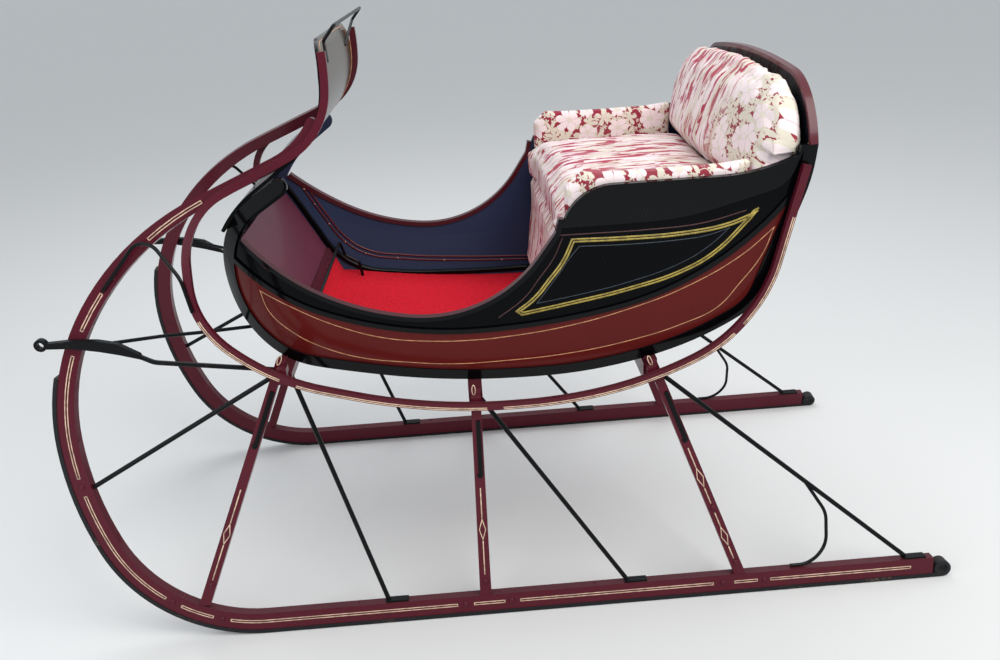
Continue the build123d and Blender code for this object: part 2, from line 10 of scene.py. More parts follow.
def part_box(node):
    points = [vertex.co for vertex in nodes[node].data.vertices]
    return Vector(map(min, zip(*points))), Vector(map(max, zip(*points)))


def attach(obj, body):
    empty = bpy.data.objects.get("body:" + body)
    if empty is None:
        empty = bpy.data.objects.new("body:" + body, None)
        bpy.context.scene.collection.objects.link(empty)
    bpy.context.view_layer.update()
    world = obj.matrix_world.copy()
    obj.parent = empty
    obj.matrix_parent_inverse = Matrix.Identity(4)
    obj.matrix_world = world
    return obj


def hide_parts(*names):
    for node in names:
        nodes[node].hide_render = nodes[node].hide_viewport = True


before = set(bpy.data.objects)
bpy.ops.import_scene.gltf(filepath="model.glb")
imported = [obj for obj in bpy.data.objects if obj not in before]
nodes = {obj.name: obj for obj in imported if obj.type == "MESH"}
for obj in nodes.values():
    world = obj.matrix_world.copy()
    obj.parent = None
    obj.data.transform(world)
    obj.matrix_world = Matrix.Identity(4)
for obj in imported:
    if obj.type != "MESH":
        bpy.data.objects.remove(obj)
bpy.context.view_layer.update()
scene = bpy.context.scene
random.seed(7)

# Side shapes are drawn from the foot of the middle posts, which stands this far ahead of the origin
sideShift = 0.0783
runnerLean = math.radians(7.1)
runnerTrack = 0.970
paintThick = 0.0003


# Colours are written as on a paint chart and turned into scene values, or into a darker share of them
def chart(hexCode, share=1.0):
    parts = [int(hexCode[i:i + 2], 16) / 255 for i in (0, 2, 4)]
    linear = [p / 12.92 if p <= 0.04045 else ((p + 0.055) / 1.055) ** 2.4 for p in parts]
    return (*(p * share for p in linear), 1.0)


# Each input is linked when a socket is given for it and set when a value is
def wire(tree, inputs, values):
    for key, value in values.items():
        if isinstance(value, bpy.types.NodeSocket):
            tree.links.new(value, inputs[key])
        else:
            inputs[key].default_value = value


def add(tree, kind, values=None, **settings):
    n = tree.nodes.new("ShaderNode" + kind)
    for key, value in settings.items():
        setattr(n, key, value)
    wire(tree, n.inputs, values or {})
    return n


def calc(tree, how, a, b=0.0, c=0.0):
    return add(tree, "Math", {0: a, 1: b, 2: c}, operation=how).outputs[0]


def times(tree, a, b):
    return calc(tree, "MULTIPLY", a, b)


def calcVector(tree, how, a, b):
    return add(tree, "VectorMath", {0: a, 1: b}, operation=how).outputs[0]


def axesOf(tree, vector):
    return add(tree, "SeparateXYZ", {0: vector}).outputs


def facingOf(tree):
    return axesOf(tree, add(tree, "NewGeometry").outputs["Normal"])


def noiseAt(tree, vector, scale, detail, roughness=0.5, distortion=0.0):
    return add(tree, "TexNoise", {"Vector": vector, "Scale": scale, "Detail": detail,
                                  "Roughness": roughness, "Distortion": distortion}).outputs[0]


def bumpOf(tree, strength, distance, height, **more):
    values = {"Strength": strength, "Distance": distance, "Height": height, **more}
    return add(tree, "Bump", values).outputs[0]


def blendColour(tree, factor, a, b, share=1.0):
    if share < 1:
        factor = times(tree, factor, share)
    return add(tree, "Mix", {0: factor, 6: a, 7: b}, data_type="RGBA").outputs[2]


# From 0 at the first limit to 1 at the second, whichever is the greater
def rampBetween(tree, value, first, second):
    return add(tree, "MapRange", {0: value, 1: first, 2: second}, interpolation_type="SMOOTHSTEP").outputs[0]


def startGroup(name, inputs, outputs):
    tree = bpy.data.node_groups.new(name, "ShaderNodeTree")
    for way, sockets in (("INPUT", inputs), ("OUTPUT", outputs)):
        for label, kind in sockets:
            tree.interface.new_socket(label, in_out=way, socket_type="NodeSocket" + kind)
    return tree, tree.nodes.new("NodeGroupInput").outputs, tree.nodes.new("NodeGroupOutput").inputs


def placeGroup(tree, group, values):
    return add(tree, "Group", values, node_tree=group).outputs


def startMaterial(name):
    mat = bpy.data.materials.new(name)
    mat.use_nodes = True
    tree = mat.node_tree
    tree.nodes.clear()
    out = tree.nodes.new("ShaderNodeOutputMaterial")
    shader = tree.nodes.new("ShaderNodeBsdfPrincipled")
    tree.links.new(shader.outputs[0], out.inputs[0])
    where = tree.nodes.new("ShaderNodeTexCoord").outputs["Object"]
    return mat, tree, shader.inputs, where


# Age of old paint: small chips, settled dust on what faces up, and the slight waves of a brushed coat
ageSet = {
    "patchScale": 9.0,  # of the places where chips gather
    "speckScale": 150.0,
    "chipLimit": (-0.12, 0.47),  # its fall with the amount of chips, and its value without any
    "chipEdge": 0.02,
    "dustFrom": 0.35,  # upward part of the normal from which dust settles
    "cloudScale": 24.0,
    "brushScale": 38.0,
    "chipDeep": 0.6,
}


def makePaintAge():
    s = ageSet
    tree, given, out = startGroup(
        "paintAge",
        [("Vector", "Vector"), ("Chips", "Float"), ("Dust", "Float")],
        [("Chips", "Float"), ("Dust", "Float"), ("Height", "Float")],
    )
    where = given["Vector"]
    patches = noiseAt(tree, where, s["patchScale"], 3.0)
    specks = noiseAt(tree, where, s["speckScale"], 4.0, 0.7)
    limit = calc(tree, "MULTIPLY_ADD", given["Chips"], *s["chipLimit"])
    chips = rampBetween(tree, times(tree, patches, specks), limit, calc(tree, "ADD", limit, s["chipEdge"]))
    settled = rampBetween(tree, facingOf(tree)[2], s["dustFrom"], 1.0)
    cloud = noiseAt(tree, where, s["cloudScale"], 8.0, 0.65)
    dust = times(tree, times(tree, settled, given["Dust"]), cloud)
    brush = noiseAt(tree, where, s["brushScale"], 2.0)
    height = calc(tree, "SUBTRACT", brush, times(tree, chips, s["chipDeep"]))
    wire(tree, out, {"Chips": chips, "Dust": dust, "Height": height})
    return tree


paintAge = makePaintAge()

paints = {
    # name: body colour, colour under a chip, dust colour, roughness, chips, dust, shine, inner face (on the
    # side walls and the dash its colour holds a painted reflection)
    "gearMaroon": ("561524", "2a1512", "8d7a74", 0.22, 0.55, 0.32, 0.16, None),
    # inner face of the lower walls: black lining lightened to blue-grey, a painted reflection of the sky
    "panelRed": ("5f1a18", "3a1210", "8d7a74", 0.16, 0.20, 0.20, 0.09, ("aside", "303a55")),
    "backRed": ("5f1a18", "3a1210", "8d7a74", 0.16, 0.20, 0.20, 0.09, ("behind", "0d1119")),
    # inner face of the upper walls: the same black lining with a painted blue-grey reflection of the sky
    "panelBlack": ("050608", "2b2b2c", "6f7684", 0.14, 0.18, 0.08, 0.05, ("aside", "303a55")),
    "backBlack": ("050608", "2b2b2c", "6f7684", 0.14, 0.18, 0.08, 0.06, ("behind", "0d1119")),
    # inner face of the dash is grey-tan: a painted reflection of the sky on its dark paint
    "dashBlack": ("050608", "2b2b2c", "6f7684", 0.16, 0.18, 0.08, 0.08, ("ahead", "544d40")),
    "mouldingBlack": ("040507", "2b2b2c", "6f7684", 0.12, 0.15, 0.12, 0.12, None),
    "rimBlack": ("06080c", "2b2b2c", "6f7684", 0.14, 0.20, 0.10, 0.10, ("top", "4a141c")),
    "rimMaroon": ("5a1c28", "2a1512", "8d7a74", 0.24, 0.40, 0.30, 0.30, None),
    "boardBrown": ("773c50", "3a2224", "8d8484", 0.36, 0.25, 0.35, 0.15, None),
    "ironBlack": ("08090b", "39302b", "5d6166", 0.30, 0.50, 0.25, 0.12, None),
    "shoeIron": ("17181b", "5b4a40", "6e675f", 0.45, 0.90, 0.60, 0.20, None),
}


# 0 on the outer face of a panel and 1 on its inner face, and of the rim 1 on its top too
def innerFace(tree, where, outward):
    facing = facingOf(tree)
    if outward in ("aside", "top"):
        out = times(tree, facing[1], calc(tree, "SIGN", axesOf(tree, where)[1]))
    else:
        out = times(tree, facing[0], 1.0 if outward == "ahead" else -1.0)
    limits = (0.55, 0.35) if outward == "top" else (-0.15, -0.35)
    return rampBetween(tree, out, *limits)


coatSet = {
    "toneScale": 5.0,
    "toneDark": 0.82,
    "dustShows": 0.45,
    "dustRough": 0.5,
    "chipRough": 0.3,
    "bump": (0.06, 0.002),  # strength and height in metres
    "coatShare": 0.5,  # of the shine
    "coatRough": 0.06,
}


def makePaint(name, body, under, dusty, roughness, chips, dust, shine, inner):
    s = coatSet
    mat, tree, shader, where = startMaterial(name)
    age = placeGroup(tree, paintAge, {"Vector": where, "Chips": chips, "Dust": dust})
    tone = noiseAt(tree, where, s["toneScale"], 4.0)
    colour = blendColour(tree, tone, chart(body, s["toneDark"]), chart(body))
    # the inner face takes its own colour; on the side walls and the dash that colour is a painted reflection
    if inner:
        colour = blendColour(tree, innerFace(tree, where, inner[0]), colour, chart(inner[1]))
    colour = blendColour(tree, age["Chips"], colour, chart(under))
    colour = blendColour(tree, age["Dust"], colour, chart(dusty), s["dustShows"])
    rough = calc(tree, "ADD", roughness, times(tree, age["Dust"], s["dustRough"]))
    rough = calc(tree, "ADD", rough, times(tree, age["Chips"], s["chipRough"]))
    wire(tree, shader, {
        "Base Color": colour,
        "Roughness": rough,
        "Normal": bumpOf(tree, *s["bump"], age["Height"]),
        "Specular IOR Level": shine,
        "Coat Weight": shine * s["coatShare"],
        "Coat Roughness": s["coatRough"],
    })
    return mat


paint = {name: makePaint(name, *values) for name, values in paints.items()}

# Stripe paint is a flat sign-writer's colour, a little thin in places
stripeColours = {
    "cream": "e8c9ac",
    "gold": "ad9844",
    "orange": "d69a6c",
    "slate": "33404c",
    "wine": "3c1015",
}
stripeSet = {
    "scale": 60.0,
    "thin": (0.35, 0.6),
    "thinShare": 0.62,
    "roughness": 0.35,
}


def makeStripePaint(name, hexCode):
    s = stripeSet
    mat, tree, shader, where = startMaterial(name)
    thin = rampBetween(tree, noiseAt(tree, where, s["scale"], 3.0), *s["thin"])
    colour = blendColour(tree, thin, chart(hexCode, s["thinShare"]), chart(hexCode))
    wire(tree, shader, {"Base Color": colour, "Roughness": s["roughness"]})
    return mat


stripePaint = {name: makeStripePaint("stripe" + name.capitalize(), code)
               for name, code in stripeColours.items()}

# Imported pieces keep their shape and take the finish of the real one
finishes = {
    "gearMaroon": ("runner", "post", "beam", "rave"),
    "panelRed": ("lower_side", "floor"),
    "backRed": ("back_panel",),
    "panelBlack": ("upper_side", "front_panel"),
    "backBlack": ("back_board",),
    "dashBlack": ("dash",),
    "mouldingBlack": ("border", "bead", "arm_panel"),
    "rimBlack": ("rim",),
    "rimMaroon": ("back_rim",),
    "boardBrown": ("toe_board", "seat_board", "seat_riser"),
    "ironBlack": ("stay", "brace", "draft_iron", "draft_rod", "arc_brace", "rein_rail", "foot_rail"),
    "shoeIron": ("shoe",),
}
for finish, starts in finishes.items():
    for name, piece in nodes.items():
        if name.startswith(starts):
            piece.data.materials.clear()
            piece.data.materials.append(paint[finish])
print("finishes are on the packed pieces")


def putInScene(name, data):
    made = bpy.data.objects.new(name, data)
    scene.collection.objects.link(made)
    return made


# A mesh is finished here: it gets its name, its material and its body
def finishPiece(name, bm, material, smooth=True):
    mesh = bpy.data.meshes.new(name)
    bmesh.ops.recalc_face_normals(bm, faces=bm.faces[:])
    bm.to_mesh(mesh)
    bm.free()
    for face in mesh.polygons:
        face.use_smooth = smooth
    piece = putInScene(name, mesh)
    mesh.materials.append(material)
    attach(piece, "root")
    return piece


def ahead(angle):
    return Vector((math.cos(angle), 0, math.sin(angle)))


def leftOf(angle):
    return Vector((-math.sin(angle), 0, math.cos(angle)))


# Centre of a bend, and the place and angle after it
def roundBend(here, angle, radius, turn):
    side = 1 if turn > 0 else -1
    centre = here + leftOf(angle) * radius * side
    angle += math.radians(turn)
    return centre, centre - leftOf(angle) * radius * side, angle


def ofKind(geom, kind):
    return [g for g in geom if type(g).__name__ == kind]


# A cross section is carried along runs and bends in the XZ plane, in steps of metres and degrees
def carryAlong(bm, section, here, angle, bends, runStep=0.03, arcStep=0.04, turnStep=3.0):
    for run, radius, turn in bends:
        if run:
            steps = max(1, round(run / runStep))
            for _ in range(steps):
                grown = bmesh.ops.extrude_edge_only(bm, edges=ofKind(section, "BMEdge"))["geom"]
                bmesh.ops.translate(bm, verts=ofKind(grown, "BMVert"), vec=ahead(angle) * run / steps)
                section = [g for g in grown if not isinstance(g, bmesh.types.BMFace)]
            here = here + ahead(angle) * run
        if turn:
            bend = math.radians(turn)
            centre, here, angle = roundBend(here, angle, radius, turn)
            steps = max(1, round(abs(turn) / turnStep), round(abs(bend) * radius / arcStep))
            section = bmesh.ops.spin(bm, geom=section, cent=centre, axis=(0, -1, 0), angle=bend,
                                     steps=steps)["geom_last"]


# Part of a chain of bends, from one length along it to another
def partOf(bends, fromLength, toLength):
    taken, done = [], 0.0
    for run, radius, turn in bends:
        arc = abs(math.radians(turn)) * radius
        for length, isArc in ((run, False), (arc, True)):
            share = min(toLength, done + length) - max(fromLength, done)
            if share > 0:
                taken.append((0, radius, turn * share / length) if isArc else (share, radius, 0))
            done += length
    return taken


# Place and angle at a length along a chain
def placeAt(chain, length):
    here, angle = Vector((chain["start"][0], 0, chain["start"][1])), math.radians(chain["heading"])
    for run, radius, turn in partOf(chain["bends"], 0.0, length):
        here = here + ahead(angle) * run
        if turn:
            _, here, angle = roundBend(here, angle, radius, turn)
    return here, angle


# A painted line is a ribbon along a stretch of a chain, shifted sideways, left of travel being plus
def paintLine(bm, chain, shift, wide, fromLength, toLength):
    here, angle = placeAt(chain, fromLength)
    ends = [bm.verts.new(here + leftOf(angle) * (shift + half)) for half in (-wide / 2, wide / 2)]
    carryAlong(bm, ends + [bm.edges.new(ends)], here, angle, partOf(chain["bends"], fromLength, toLength))


# From the drawing plane of a leaning runner to its outer face
def leanOut(bm, out):
    for v in bm.verts:
        x, up, away = v.co.x, v.co.z, out + v.co.y
        v.co = Vector((
            x + sideShift,
            runnerTrack / 2 - up * math.sin(runnerLean) + away * math.cos(runnerLean),
            up * math.cos(runnerLean) + away * math.sin(runnerLean),
        ))


def treeOf(name):
    mesh = nodes[name].data
    return BVHTree.FromPolygons([v.co for v in mesh.vertices], [p.vertices[:] for p in mesh.polygons])


def cornersOf(name):
    return [Vector(c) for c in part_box(name)]


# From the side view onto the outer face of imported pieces, or from the middle onto their inner face,
# from a Y outside everything; a point that misses them goes to what is nearest to it on the wall
def dropOnto(bm, names, lift, inside=False, farOut=0.9, wall=0.45):
    trees = [treeOf(n) for n in names]
    start, way = (0.0, 1) if inside else (farOut, -1)
    for v in bm.verts:
        x = v.co.x + sideShift
        hits = [t.ray_cast(Vector((x, start, v.co.z)), Vector((0, way, 0))) for t in trees]
        hits = [h for h in hits if h[0] is not None]
        if hits:
            place, normal, _, _ = min(hits, key=lambda h: h[3])
            v.co = place + (normal if normal.y * way < 0 else -normal) * lift
        else:
            beside = Vector((x, wall, v.co.z))
            near = min((t.find_nearest(beside) for t in trees), key=lambda h: h[3])
            v.co = near[0] + Vector((0, -way * lift, 0))


# Vertices and edges of a smooth line through points of the side view, with sharp corners where named
def curveEdges(points, corners=(), closed=True, finer=8):
    curve = bpy.data.curves.new("line", "CURVE")
    curve.dimensions = "3D"
    curve.resolution_u = finer
    spline = curve.splines.new("BEZIER")
    spline.bezier_points.add(len(points) - 1)
    spline.use_cyclic_u = closed
    for knot, (x, z) in zip(spline.bezier_points, points):
        knot.co = (x, z, 0)
    for i, knot in enumerate(spline.bezier_points):
        knot.handle_left_type = knot.handle_right_type = "VECTOR" if i in corners else "AUTO"
    return meshOfCurve(curve, Matrix.Rotation(math.radians(90), 3, "X"))


def meshOfCurve(curve, turn=None):
    holder = putInScene("line", curve)
    bpy.context.view_layer.update()
    made = bpy.data.meshes.new_from_object(holder)
    bm = bmesh.new()
    bm.from_mesh(made)
    bpy.data.objects.remove(holder)
    bpy.data.curves.remove(curve)
    bpy.data.meshes.remove(made)
    if turn:
        bmesh.ops.rotate(bm, verts=bm.verts[:], cent=(0, 0, 0), matrix=turn)
    return bm


# A round cord along the vertices of a line
def cordAlong(line, radius):
    places = [v.co.copy() for v in line.verts]
    line.free()
    curve = bpy.data.curves.new("cord", "CURVE")
    curve.dimensions = "3D"
    curve.bevel_depth = radius
    curve.bevel_resolution = 1
    curve.use_fill_caps = True
    spline = curve.splines.new("POLY")
    spline.points.add(len(places) - 1)
    for knot, place in zip(spline.points, places):
        knot.co = (*place, 1)
    return meshOfCurve(curve)


def insetRing(bm, face, wide):
    made = bmesh.ops.inset_region(bm, faces=[face], thickness=wide, use_even_offset=True, use_boundary=True)
    return made["faces"]


# Rings of a closed line, from its outer edge inwards, of which some are painted
def keepRings(bm, rings):
    face = bmesh.ops.contextual_create(bm, geom=bm.edges[:])["faces"][0]
    kept = []
    for wide, painted in rings:
        ring = insetRing(bm, face, wide)
        if painted:
            kept += ring
    bmesh.ops.delete(bm, geom=[f for f in bm.faces if f not in set(kept)], context="FACES")


def mirrorOver(bm):
    made = bmesh.ops.duplicate(bm, geom=bm.verts[:] + bm.edges[:] + bm.faces[:])["geom"]
    bmesh.ops.scale(bm, vec=(1, -1, 1), verts=ofKind(made, "BMVert"))
    bmesh.ops.reverse_faces(bm, faces=ofKind(made, "BMFace"))


def thickenAndMirror(bm):
    bmesh.ops.remove_doubles(bm, verts=bm.verts[:], dist=1e-6)
    bmesh.ops.recalc_face_normals(bm, faces=bm.faces[:])
    bmesh.ops.solidify(bm, geom=bm.faces[:], thickness=paintThick)
    mirrorOver(bm)


def joinAndMirror(parts):
    bm = bmesh.new()
    for part in parts:
        made = bpy.data.meshes.new("part")
        part.to_mesh(made)
        part.free()
        bm.from_mesh(made)
        bpy.data.meshes.remove(made)
    mirrorOver(bm)
    return bm


runnerLine = {
    "start": (-1.150, 0.033),
    "heading": 0,
    "bends": ((1.753, 0.383, 45), (0, 0.371, 25), (0, 0.800, 20), (0, 0.550, 33), (0, 0.729, 33.8),
              (0.173, 0.230, -35)),
    "outer": 0.0131,  # face of the runner from its middle plane
    "gap": 0.0062,  # between the two lines
    "wide": 0.0024,
    "stretches": ((0.060, 0.435), (0.468, 0.530), (0.585, 1.095), (1.134, 1.216), (1.258, 1.848),
                  (1.892, 1.979), (2.022, 2.365), (2.412, 2.734), (2.799, 2.907), (3.080, 3.235)),
}


def stripeRunners():
    s = runnerLine
    bm = bmesh.new()
    for low, high in s["stretches"]:
        for shift in (-s["gap"] / 2, s["gap"] / 2):
            paintLine(bm, s, shift, s["wide"], low, high)
        for start in (low, high - s["wide"]):  # the two lines join at each end of a stretch
            paintLine(bm, s, 0, s["gap"], start, start + s["wide"])
    leanOut(bm, s["outer"])
    thickenAndMirror(bm)
    finishPiece("runner_stripes", bm, stripePaint["cream"])


raveLine = {
    "start": (-0.741, 1.129),
    "heading": -79,
    "bends": ((0.232, 0.327, 54), (0, 0.900, 15), (0, 1.100, 10), (0.030, 1.300, 17), (0.070, 0.490, 28),
              (0, 0.225, 45), (0.047, 0.161, 66), (0.174, 0.165, -60), (0, 0.478, -10)),
    "shifts": (-0.0062, -0.0018),
    "wide": 0.0022,
    "stretches": ((0.12, 0.40), (0.43, 1.02), (1.06, 1.52), (1.56, 1.79)),
}


def stripeRaves():
    s = raveLine
    bm = bmesh.new()
    for low, high in s["stretches"]:
        for shift in s["shifts"]:
            paintLine(bm, s, shift, s["wide"], low, high)
    dropOnto(bm, ["rave_left"], paintThick)
    thickenAndMirror(bm)
    finishPiece("rave_stripes", bm, stripePaint["cream"])


stripeRunners()
stripeRaves()
print("the gear is striped")


walls = ("upper_side_left", "lower_side_left")
bodyLift = 0.0004  # between the walls and the lines on them

# Closed lines on the body side: points of the side view, round the loop, and its sharp corners
bodyLoops = {
    "upper": {
        "points": ((-0.225, 0.991), (-0.358, 0.987), (-0.482, 0.989), (-0.575, 1.001), (-0.648, 1.027),
                   (-0.634, 1.006), (-0.561, 0.928), (-0.488, 0.885), (-0.362, 0.847), (-0.218, 0.819),
                   (-0.105, 0.800), (-0.089, 0.814), (-0.132, 0.848), (-0.169, 0.894), (-0.200, 0.936)),
        "corners": (0, 4, 5, 10, 11),
        "colour": "gold",
        "rings": ((0.0042, True), (0.0022, False), (0.0042, True)),
        "nodes": walls,
    },
    "inner": {
        "points": ((-0.242, 0.971), (-0.358, 0.967), (-0.475, 0.969), (-0.530, 0.974), (-0.588, 0.990),
                   (-0.541, 0.946), (-0.480, 0.909), (-0.362, 0.870), (-0.222, 0.842), (-0.140, 0.830),
                   (-0.163, 0.862), (-0.195, 0.906), (-0.219, 0.942)),
        "corners": (0, 4, 9),
        "colour": "slate",
        "rings": ((0.0018, True),),
        "nodes": walls,
    },
    "lower": {
        "points": ((0.514, 0.888), (0.438, 0.850), (0.333, 0.798), (0.227, 0.762), (0.118, 0.747),
                   (0.010, 0.743),
                   (-0.050, 0.745), (-0.207, 0.762), (-0.363, 0.799), (-0.490, 0.845), (-0.620, 0.920),
                   (-0.690, 0.985), (-0.668, 0.915), (-0.622, 0.844), (-0.572, 0.781), (-0.497, 0.744),
                   (-0.367, 0.705), (-0.207, 0.679), (-0.047, 0.672), (0.071, 0.673), (0.180, 0.685),
                   (0.292, 0.703), (0.375, 0.733), (0.452, 0.778), (0.501, 0.830)),
        "corners": (0, 11),
        "colour": "orange",
        "rings": ((0.0022, True),),
        "nodes": ("lower_side_left",),
    },
}


def stripeBody():
    for where, loop in bodyLoops.items():
        bm = curveEdges(loop["points"], loop["corners"])
        keepRings(bm, loop["rings"])
        dropOnto(bm, loop["nodes"], bodyLift)
        thickenAndMirror(bm)
        finishPiece(f"body_stripe_{where}_{loop['colour']}", bm, stripePaint[loop["colour"]])


# Mouldings along the inside of the walls by their paint, and the fine one that edges the arm
innerLines = {
    "rimMaroon": (
        ((-0.175, 0.686), (0.045, 0.700), (0.219, 0.722), (0.330, 0.750), (0.395, 0.800),
         (0.440, 0.870), (0.480, 0.945), (0.500, 0.985)),
        ((-0.178, 0.676), (0.045, 0.689), (0.222, 0.711), (0.337, 0.740), (0.404, 0.792),
         (0.449, 0.865), (0.489, 0.941), (0.509, 0.982)),
    ),
    "mouldingBlack": (
        ((-0.191, 0.651), (0.048, 0.655), (0.250, 0.674), (0.360, 0.704), (0.430, 0.762),
         (0.478, 0.846), (0.520, 0.930), (0.545, 0.978)),
    ),
}
armLines = (
    ((-0.186, 1.001), (-0.260, 1.000), (-0.400, 0.999), (-0.520, 1.005), (-0.620, 1.028)),
    ((-0.205, 0.995), (-0.183, 0.945), (-0.150, 0.898), (-0.112, 0.848), (-0.050, 0.800)),
)
mouldingSet = {
    "radius": {"rimMaroon": 0.0035, "mouldingBlack": 0.0090},
    "standsOff": 0.3,  # share of its radius from the wall to its middle line
    "nailStandsOff": 0.0045,
    "nailRadius": 0.0022,
    "nails": slice(3, None, 7),  # of the points of the lower red line
    "armRadius": 0.0018,
}


def wallLine(points, lift, inside):
    line = curveEdges(points, closed=False)
    dropOnto(line, walls, lift, inside)
    return line


def addMouldings():
    s = mouldingSet
    for colour, lines in innerLines.items():
        radius = s["radius"][colour]
        cords = [cordAlong(wallLine(points, radius * s["standsOff"], True), radius) for points in lines]
        finishPiece(f"inner_moulding_{colour}", joinAndMirror(cords), paint[colour])
    line = wallLine(innerLines["rimMaroon"][1], s["nailStandsOff"], True)
    nails = bmesh.new()
    for place in [v.co.copy() for v in line.verts][s["nails"]]:
        bmesh.ops.create_uvsphere(nails, u_segments=8, v_segments=6, radius=s["nailRadius"],
                                  matrix=Matrix.Translation(place))
    line.free()
    mirrorOver(nails)
    finishPiece("moulding_nails", nails, stripePaint["cream"])
    cords = [cordAlong(wallLine(points, 0.0, False), s["armRadius"]) for points in armLines]
    finishPiece("arm_lines", joinAndMirror(cords), stripePaint["wine"])


# Posts: foot and head in the runner's plane, and what is on them, in metres from the foot
postSet = {
    "front": {"foot": (0.757, 0.093), "head": (0.474, 0.738), "strap": (0.619, 0.468), "bolts": (0.063,),
              "motifs": ((0.345, 0.215, 0.078),)},
    "middle": {"foot": (0.034, 0.033), "head": (0.019, 0.626), "strap": (0.510, 0.363), "bolts": (0.062,),
               "motifs": ((0.328, 0.212, 0.083),)},
    "rear": {"foot": (-0.643, 0.033), "head": (-0.412, 0.668), "strap": (0.581, 0.441),
             "bolts": (0.234, 0.061), "motifs": ((0.417, 0.327, 0.248), (0.219, 0.145, 0.074))},
}
motifSet = {
    "line": 0.0028,
    "diamond": (0.0090, 0.032),  # half of its width and height
    "drop": (0.0052, 0.0140),
    "dropShift": (-0.004, -0.004),  # aside, and along from the head
    "ring": 0.0020,  # breadth of the line round a diamond or a drop
    "postFace": 0.0121,
    "strapWide": 0.011,
    "strapThick": 0.0035,
    "strapShift": 0.003,
    "boltRadius": 0.0075,
    "boltHigh": 0.0045,
    "boltShift": (0.001, 0.0005),  # aside and outward
}
runnerBolts = (0.450, 0.560, 1.117, 1.237, 1.869, 2.002, 2.389, 2.762, 2.956, 3.060)


# Local X runs across the post, Y along it and Z out of its face
def placeOnPost(post):
    foot, head = post["foot"], post["head"]
    along = Vector((head[0] - foot[0], 0, head[1] - foot[1])).normalized()
    across = along.cross(Vector((0, 1, 0)))
    turn = Matrix((across, along, Vector((0, 1, 0)))).transposed().to_4x4()
    return Matrix.Translation(Vector((foot[0], 0, foot[1]))) @ turn


# Where a unit shape goes, moved along the axes of its place and sized
def fitted(place, shift, size):
    return place @ Matrix.Translation(shift) @ Matrix.Diagonal((*size, 1))


def addRing(bm, corners, matrix):
    made = bmesh.ops.create_circle(bm, cap_ends=True, segments=corners, radius=1, matrix=matrix)
    face = made["verts"][0].link_faces[0]
    insetRing(bm, face, motifSet["ring"])
    bmesh.ops.delete(bm, geom=[face], context="FACES")


def addBolt(bm, matrix):
    bmesh.ops.create_uvsphere(bm, u_segments=14, v_segments=8, radius=1, matrix=matrix)


def decoratePosts():
    s = motifSet
    cream, iron, heads = bmesh.new(), bmesh.new(), bmesh.new()
    wide, high = s["diamond"]
    for post in postSet.values():
        place = placeOnPost(post)
        for top, centre, low in post["motifs"]:
            for a, b in ((low, centre - high), (centre + high, top)):
                bmesh.ops.create_grid(cream, x_segments=1, y_segments=1, size=0.5,
                                      matrix=fitted(place, (0, (a + b) / 2, 0), (s["line"], b - a, 1)))
            addRing(cream, 4, fitted(place, (0, centre, 0), (wide, high, 1)))
        length = math.dist(post["foot"], post["head"])
        aside, along = s["dropShift"]
        addRing(cream, 20, fitted(place, (aside, length + along, 0), (*s["drop"], 1)))
        top, low = post["strap"]
        thick = s["strapThick"]
        size = (s["strapWide"], top - low, thick)
        strap = fitted(place, (s["strapShift"], (low + top) / 2, thick / 2), size)
        bmesh.ops.create_cube(iron, size=1, matrix=strap)
        aside, out = s["boltShift"]
        size = (s["boltRadius"], s["boltRadius"], s["boltHigh"])
        for along in post["bolts"]:
            addBolt(heads, fitted(place, (aside, along, out), size))
        addBolt(iron, fitted(place, (aside, low, out), size))
    for bm in (cream, iron, heads):
        leanOut(bm, s["postFace"])
    thickenAndMirror(cream)
    mirrorOver(iron)
    mirrorOver(heads)
    finishPiece("post_bolts", heads, paint["gearMaroon"])
    finishPiece("post_motifs", cream, stripePaint["cream"])
    finishPiece("post_straps", iron, paint["ironBlack"], smooth=False)


def addRunnerBolts():
    s = motifSet
    bm = bmesh.new()
    for length in runnerBolts:
        here, _ = placeAt(runnerLine, length)
        addBolt(bm, fitted(Matrix(), here, (s["boltRadius"], s["boltHigh"], s["boltRadius"])))
    leanOut(bm, runnerLine["outer"])
    mirrorOver(bm)
    finishPiece("runner_bolts", bm, paint["gearMaroon"])


# A thin orange line runs round the inner face of the dash
dashLine = {
    "points": ((0.315, 1.180), (0.315, 1.385), (0.262, 1.432), (0.0, 1.434),
               (-0.262, 1.432), (-0.315, 1.385), (-0.315, 1.180)),
    "corners": (1, 2, 4, 5),
    "radius": 0.0014,
    "near": 0.3,  # X near the dash, for points that miss it
}


def stripeDash():
    s = dashLine
    line = curveEdges(s["points"], s["corners"], closed=False)
    tree = treeOf("dash")
    for v in line.verts:
        hit = tree.ray_cast(Vector((0.0, v.co.x, v.co.z)), Vector((1, 0, 0)))[0]
        v.co = hit if hit else tree.find_nearest(Vector((s["near"], v.co.x, v.co.z)))[0]
    finishPiece("dash_stripe", cordAlong(line, s["radius"]), stripePaint["orange"])


stripeDash()
stripeBody()
addMouldings()
decoratePosts()
addRunnerBolts()
print("the body is lined, the posts and runners have their motifs and bolts")


# Printed cotton: flowers and leaves drawn from cell centres, on a plain ground
printMotifs = {
    # name: cells per metre, shift of the cells, lobes, reach between the lobes, size in metres
    "flower": (11.5, (0.0, 0.0, 0.0), 6, 0.66, 0.040),
    "leaf": (20.0, (0.31, 0.17, 0.0), 5, 0.16, 0.034),
    "sprig": (44.0, (0.73, 0.41, 0.0), 5, 0.18, 0.012),
}
printSet = {
    "driftScale": 16.0,
    "drift": (0.030, 0.030, 0.0),  # how far the drawing strays, in metres
    "scatter": 0.72,
    "fullTurn": 6.283,
    "sizes": (0.45, 0.75),  # range and least share of the size
    "edge": 0.0016,
    "rib": (0.22, 0.06),
    "heart": (0.26, 0.16),  # shares of the size
    "stemScale": 19.0,
    "stem": (0.016, 0.008),
    "leafRibShows": 0.45,
    "petalRibShows": 0.50,
    "heartShows": 0.8,
    "weave": {"Scale": 150.0, "Distortion": 0.6},
}
